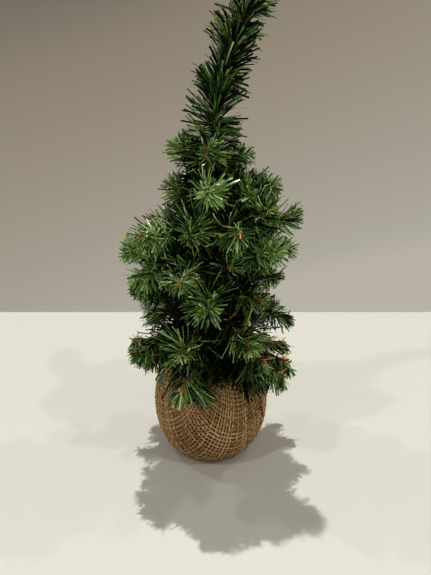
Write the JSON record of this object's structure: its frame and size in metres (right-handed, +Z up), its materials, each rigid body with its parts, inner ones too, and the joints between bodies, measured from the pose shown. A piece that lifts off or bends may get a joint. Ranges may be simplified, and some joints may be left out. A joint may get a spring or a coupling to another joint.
{
  "type": "artificial tabletop tree",
  "caption": "Small artificial evergreen tree: bendable wire branches with flat needles on a taped trunk, in a round weighted base wrapped in burlap.",
  "frame": {"origin": "middle of the flat underside of the burlap base, on the table", "axes": "+Z up along the trunk, -Y toward the front, +X to the right as seen from the front; the leader leans toward +X"},
  "size_m": [0.1342, 0.1467, 0.3768],
  "materials": {
    "burlap": "coarse open plain weave jute",
    "twine": "twisted jute twine",
    "cement": "cast, rough",
    "liner_plastic": "thin moulded",
    "core_wire": "twisted, dull",
    "stem_wire": "twisted wire, green-brown lacquer",
    "trunk_tape": "brown stretched tape, spirally wound",
    "needles": "cut PVC film, satin, mixed greens with brown ends"
  },
  "bodies": {
    "root": {"plastic_liner": "liner_plastic", "base_weight": "cement", "burlap_wrap": "burlap", "neck_twine": "twine", "trunk_core": "core_wire", "trunk_tape": "trunk_tape", "branch_bindings": "trunk_tape"},
    "leader_lower": {"leader_lower_stem": "stem_wire", "leader_lower_needles": "needles"},
    "leader_upper": {"leader_upper_stem": "stem_wire", "leader_upper_needles": "needles"},
    "tier_1_shoot_1": {"tier_1_branch_1": "needles"},
    "tier_1_shoot_2": {"tier_1_branch_2": "needles"},
    "tier_1_shoot_3": {"tier_1_branch_3": "needles"},
    "tier_1_shoot_4": {"tier_1_branch_4": "needles"},
    "tier_1_shoot_5": {"tier_1_branch_5": "needles"},
    "tier_1_shoot_6": {"tier_1_branch_6": "needles"},
    "tier_1_shoot_7": {"tier_1_branch_7": "needles"},
    "tier_1_shoot_8": {"tier_1_branch_8": "needles"},
    "tier_2_shoot_1": {"tier_2_branch_1": "needles"},
    "tier_2_shoot_2": {"tier_2_branch_2": "needles"},
    "tier_2_shoot_3": {"tier_2_branch_3": "needles"},
    "tier_2_shoot_4": {"tier_2_branch_4": "needles"},
    "tier_2_shoot_5": {"tier_2_branch_5": "needles"},
    "tier_2_shoot_6": {"tier_2_branch_6": "needles"},
    "tier_3_shoot_1": {"tier_3_branch_1": "needles"},
    "tier_3_shoot_2": {"tier_3_branch_2": "needles"},
    "tier_3_shoot_3": {"tier_3_branch_3": "needles"},
    "tier_3_shoot_4": {"tier_3_branch_4": "needles"},
    "tier_3_shoot_5": {"tier_3_branch_5": "needles"},
    "tier_3_shoot_6": {"tier_3_branch_6": "needles"},
    "tier_3_shoot_7": {"tier_3_branch_7": "needles"},
    "tier_3_shoot_8": {"tier_3_branch_8": "needles"},
    "tier_4_shoot_1": {"tier_4_branch_1": "needles"},
    "tier_4_shoot_2": {"tier_4_branch_2": "needles"},
    "tier_4_shoot_3": {"tier_4_branch_3": "needles"},
    "tier_4_shoot_4": {"tier_4_branch_4": "needles"},
    "tier_4_shoot_5": {"tier_4_branch_5": "needles"},
    "tier_4_shoot_6": {"tier_4_branch_6": "needles"},
    "tier_4_shoot_7": {"tier_4_branch_7": "needles"},
    "tier_4_shoot_8": {"tier_4_branch_8": "needles"},
    "tier_4_shoot_9": {"tier_4_branch_9": "needles"},
    "tier_5_shoot_1": {"tier_5_branch_1": "needles"},
    "tier_5_shoot_2": {"tier_5_branch_2": "needles"},
    "tier_5_shoot_3": {"tier_5_branch_3": "needles"},
    "tier_5_shoot_4": {"tier_5_branch_4": "needles"},
    "tier_5_shoot_5": {"tier_5_branch_5": "needles"},
    "tier_5_shoot_6": {"tier_5_branch_6": "needles"},
    "tier_5_shoot_7": {"tier_5_branch_7": "needles"},
    "tier_5_shoot_8": {"tier_5_branch_8": "needles"},
    "tier_5_shoot_9": {"tier_5_branch_9": "needles"},
    "tier_6_shoot_1": {"tier_6_branch_1": "needles"},
    "tier_6_shoot_2": {"tier_6_branch_2": "needles"},
    "tier_6_shoot_3": {"tier_6_branch_3": "needles"},
    "tier_6_shoot_4": {"tier_6_branch_4": "needles"},
    "tier_6_shoot_5": {"tier_6_branch_5": "needles"},
    "tier_6_shoot_6": {"tier_6_branch_6": "needles"},
    "tier_7_shoot_1": {"tier_7_branch_1": "needles"},
    "tier_7_shoot_2": {"tier_7_branch_2": "needles"},
    "tier_7_shoot_3": {"tier_7_branch_3": "needles"}
  },
  "joints": [
    {"name": "leader_foot_bend", "type": "hinge", "parent": "root", "child": "leader_lower", "pos_m": [0, 0, 0.2415], "axis": [0, 1, 0], "range_deg": [-10, 10]},
    {"name": "leader_top_bend", "type": "hinge", "parent": "leader_lower", "child": "leader_upper", "pos_m": [0.00262, 0, 0.27139], "axis": [0, 1, 0], "range_deg": [-20, 10]},
    {"name": "tier_1_bend_1", "type": "hinge", "parent": "root", "child": "tier_1_shoot_1", "pos_m": [-0.00717, 0.00063, 0.1075], "axis": [0.0872, 0.9962, 0], "range_deg": [-20, 45]},
    {"name": "tier_1_bend_2", "type": "hinge", "parent": "root", "child": "tier_1_shoot_2", "pos_m": [-0.00222, -0.00685, 0.1025], "axis": [-0.9511, 0.309, 0], "range_deg": [-5, 20]},
    {"name": "tier_1_bend_3", "type": "hinge", "parent": "root", "child": "tier_1_shoot_3", "pos_m": [0.0036, -0.00624, 0.1075], "axis": [-0.866, -0.5, 0], "range_deg": [-25, 5]},
    {"name": "tier_1_bend_4", "type": "hinge", "parent": "root", "child": "tier_1_shoot_4", "pos_m": [0.00535, -0.00482, 0.1025], "axis": [-0.6691, -0.7431, 0], "range_deg": [-10, 45]},
    {"name": "tier_1_bend_5", "type": "hinge", "parent": "root", "child": "tier_1_shoot_5", "pos_m": [0.00641, -0.00327, 0.1075], "axis": [-0.454, -0.891, 0], "range_deg": [-15, 45]},
    {"name": "tier_1_bend_6", "type": "hinge", "parent": "root", "child": "tier_1_shoot_6", "pos_m": [0.00696, 0.00186, 0.1025], "axis": [0.2588, -0.9659, 0], "range_deg": [-10, 45]},
    {"name": "tier_1_bend_7", "type": "hinge", "parent": "root", "child": "tier_1_shoot_7", "pos_m": [0.00304, 0.00653, 0.1075], "axis": [0.9063, -0.4226, 0], "range_deg": [-15, 45]},
    {"name": "tier_1_bend_8", "type": "hinge", "parent": "root", "child": "tier_1_shoot_8", "pos_m": [-0.0036, 0.00624, 0.1025], "axis": [0.866, 0.5, 0], "range_deg": [-10, 45]},
    {"name": "tier_2_bend_1", "type": "hinge", "parent": "root", "child": "tier_2_shoot_1", "pos_m": [-0.00482, -0.00535, 0.1285], "axis": [-0.7431, 0.6691, 0], "range_deg": [-25, 40]},
    {"name": "tier_2_bend_2", "type": "hinge", "parent": "root", "child": "tier_2_shoot_2", "pos_m": [-0.00198, -0.00692, 0.1235], "axis": [-0.9613, 0.2756, 0], "range_deg": [-20, 40]},
    {"name": "tier_2_bend_3", "type": "hinge", "parent": "root", "child": "tier_2_shoot_3", "pos_m": [0.0027, -0.00668, 0.1285], "axis": [-0.9272, -0.3746, 0], "range_deg": [-5, 45]},
    {"name": "tier_2_bend_4", "type": "hinge", "parent": "root", "child": "tier_2_shoot_4", "pos_m": [0.00552, 0.00463, 0.1235], "axis": [0.6428, -0.766, 0], "range_deg": [-25, 45]},
    {"name": "tier_2_bend_5", "type": "hinge", "parent": "root", "child": "tier_2_shoot_5", "pos_m": [0.00063, 0.00717, 0.1285], "axis": [0.9962, -0.0872, 0], "range_deg": [-25, 20]},
    {"name": "tier_2_bend_6", "type": "hinge", "parent": "root", "child": "tier_2_shoot_6", "pos_m": [-0.0059, 0.00413, 0.1235], "axis": [0.5736, 0.8192, 0], "range_deg": [-25, 45]},
    {"name": "tier_3_bend_1", "type": "hinge", "parent": "root", "child": "tier_3_shoot_1", "pos_m": [-0.00685, -0.00222, 0.1525], "axis": [-0.309, 0.9511, 0], "range_deg": [-25, 30]},
    {"name": "tier_3_bend_2", "type": "hinge", "parent": "root", "child": "tier_3_shoot_2", "pos_m": [0, -0.0072, 0.1475], "axis": [-1, 0, 0], "range_deg": [-25, 45]},
    {"name": "tier_3_bend_3", "type": "hinge", "parent": "root", "child": "tier_3_shoot_3", "pos_m": [0.00482, -0.00535, 0.1525], "axis": [-0.7431, -0.6691, 0], "range_deg": [-25, 30]},
    {"name": "tier_3_bend_4", "type": "hinge", "parent": "root", "child": "tier_3_shoot_4", "pos_m": [0.00709, -0.00125, 0.1475], "axis": [-0.1736, -0.9848, 0], "range_deg": [-25, 45]},
    {"name": "tier_3_bend_5", "type": "hinge", "parent": "root", "child": "tier_3_shoot_5", "pos_m": [0.00653, 0.00304, 0.1525], "axis": [0.4226, -0.9063, 0], "range_deg": [-25, 45]},
    {"name": "tier_3_bend_6", "type": "hinge", "parent": "root", "child": "tier_3_shoot_6", "pos_m": [0.00186, 0.00696, 0.1475], "axis": [0.9659, -0.2588, 0], "range_deg": [-20, 45]},
    {"name": "tier_3_bend_7", "type": "hinge", "parent": "root", "child": "tier_3_shoot_7", "pos_m": [-0.00304, 0.00653, 0.1525], "axis": [0.9063, 0.4226, 0], "range_deg": [-25, 45]},
    {"name": "tier_3_bend_8", "type": "hinge", "parent": "root", "child": "tier_3_shoot_8", "pos_m": [-0.00696, 0.00186, 0.1475], "axis": [0.2588, 0.9659, 0], "range_deg": [-25, 45]},
    {"name": "tier_4_bend_1", "type": "hinge", "parent": "root", "child": "tier_4_shoot_1", "pos_m": [-0.00535, -0.00482, 0.1785], "axis": [-0.6691, 0.7431, 0], "range_deg": [-25, 15]},
    {"name": "tier_4_bend_2", "type": "hinge", "parent": "root", "child": "tier_4_shoot_2", "pos_m": [-0.00198, -0.00692, 0.1735], "axis": [-0.9613, 0.2756, 0], "range_deg": [-25, 20]},
    {"name": "tier_4_bend_3", "type": "hinge", "parent": "root", "child": "tier_4_shoot_3", "pos_m": [0.00174, -0.00699, 0.1785], "axis": [-0.9703, -0.2419, 0], "range_deg": [-25, 15]},
    {"name": "tier_4_bend_4", "type": "hinge", "parent": "root", "child": "tier_4_shoot_4", "pos_m": [0.00491, -0.00527, 0.1735], "axis": [-0.7314, -0.682, 0], "range_deg": [-25, 20]},
    {"name": "tier_4_bend_5", "type": "hinge", "parent": "root", "child": "tier_4_shoot_5", "pos_m": [0.0072, 0.00025, 0.1785], "axis": [0.0349, -0.9994, 0], "range_deg": [-25, 45]},
    {"name": "tier_4_bend_6", "type": "hinge", "parent": "root", "child": "tier_4_shoot_6", "pos_m": [0.00463, 0.00552, 0.1735], "axis": [0.766, -0.6428, 0], "range_deg": [-25, 45]},
    {"name": "tier_4_bend_7", "type": "hinge", "parent": "root", "child": "tier_4_shoot_7", "pos_m": [-0.00063, 0.00717, 0.1785], "axis": [0.9962, 0.0872, 0], "range_deg": [-25, 45]},
    {"name": "tier_4_bend_8", "type": "hinge", "parent": "root", "child": "tier_4_shoot_8", "pos_m": [-0.00552, 0.00463, 0.1735], "axis": [0.6428, 0.766, 0], "range_deg": [-25, 30]},
    {"name": "tier_4_bend_9", "type": "hinge", "parent": "root", "child": "tier_4_shoot_9", "pos_m": [-0.0072, -0.00025, 0.1785], "axis": [-0.0349, 0.9994, 0], "range_deg": [-25, 45]},
    {"name": "tier_5_bend_1", "type": "hinge", "parent": "root", "child": "tier_5_shoot_1", "pos_m": [-0.00647, -0.00316, 0.2005], "axis": [-0.4384, 0.8988, 0], "range_deg": [-25, 45]},
    {"name": "tier_5_bend_2", "type": "hinge", "parent": "root", "child": "tier_5_shoot_2", "pos_m": [-0.00482, -0.00535, 0.1955], "axis": [-0.7431, 0.6691, 0], "range_deg": [-15, 45]},
    {"name": "tier_5_bend_3", "type": "hinge", "parent": "root", "child": "tier_5_shoot_3", "pos_m": [-0.0015, -0.00704, 0.2005], "axis": [-0.9781, 0.2079, 0], "range_deg": [-20, 30]},
    {"name": "tier_5_bend_4", "type": "hinge", "parent": "root", "child": "tier_5_shoot_4", "pos_m": [0.00211, -0.00688, 0.1955], "axis": [-0.9563, -0.2924, 0], "range_deg": [-15, 20]},
    {"name": "tier_5_bend_5", "type": "hinge", "parent": "root", "child": "tier_5_shoot_5", "pos_m": [0.00423, -0.00583, 0.2005], "axis": [-0.809, -0.5878, 0], "range_deg": [-25, 5]},
    {"name": "tier_5_bend_6", "type": "hinge", "parent": "root", "child": "tier_5_shoot_6", "pos_m": [0.00597, -0.00403, 0.1955], "axis": [-0.5592, -0.829, 0], "range_deg": [-25, 35]},
    {"name": "tier_5_bend_7", "type": "hinge", "parent": "root", "child": "tier_5_shoot_7", "pos_m": [0.00653, 0.00304, 0.2005], "axis": [0.4226, -0.9063, 0], "range_deg": [-25, 45]},
    {"name": "tier_5_bend_8", "type": "hinge", "parent": "root", "child": "tier_5_shoot_8", "pos_m": [0.0015, 0.00704, 0.1955], "axis": [0.9781, -0.2079, 0], "range_deg": [-25, 40]},
    {"name": "tier_5_bend_9", "type": "hinge", "parent": "root", "child": "tier_5_shoot_9", "pos_m": [-0.00463, 0.00552, 0.2005], "axis": [0.766, 0.6428, 0], "range_deg": [-25, 25]},
    {"name": "tier_6_bend_1", "type": "hinge", "parent": "root", "child": "tier_6_shoot_1", "pos_m": [0, -0.0072, 0.2225], "axis": [-1, 0, 0], "range_deg": [-25, 25]},
    {"name": "tier_6_bend_2", "type": "hinge", "parent": "root", "child": "tier_6_shoot_2", "pos_m": [0.00327, -0.00641, 0.2175], "axis": [-0.891, -0.454, 0], "range_deg": [-5, 45]},
    {"name": "tier_6_bend_3", "type": "hinge", "parent": "root", "child": "tier_6_shoot_3", "pos_m": [0.00491, -0.00527, 0.2225], "axis": [-0.7314, -0.682, 0], "range_deg": [-10, 45]},
    {"name": "tier_6_bend_4", "type": "hinge", "parent": "root", "child": "tier_6_shoot_4", "pos_m": [0.00717, 0.00063, 0.2175], "axis": [0.0872, -0.9962, 0], "range_deg": [-25, 45]},
    {"name": "tier_6_bend_5", "type": "hinge", "parent": "root", "child": "tier_6_shoot_5", "pos_m": [0.00304, 0.00653, 0.2225], "axis": [0.9063, -0.4226, 0], "range_deg": [-25, 45]},
    {"name": "tier_6_bend_6", "type": "hinge", "parent": "root", "child": "tier_6_shoot_6", "pos_m": [-0.00567, 0.00443, 0.2175], "axis": [0.6157, 0.788, 0], "range_deg": [-25, 35]},
    {"name": "tier_7_bend_1", "type": "hinge", "parent": "root", "child": "tier_7_shoot_1", "pos_m": [-0.00025, -0.0072, 0.2405], "axis": [-0.9994, 0.0349, 0], "range_deg": [-25, 45]},
    {"name": "tier_7_bend_2", "type": "hinge", "parent": "root", "child": "tier_7_shoot_2", "pos_m": [0.00624, 0.0036, 0.2355], "axis": [0.5, -0.866, 0], "range_deg": [-25, 45]},
    {"name": "tier_7_bend_3", "type": "hinge", "parent": "root", "child": "tier_7_shoot_3", "pos_m": [-0.0059, 0.00413, 0.2405], "axis": [0.5736, 0.8192, 0], "range_deg": [-25, 45]}
  ]
}
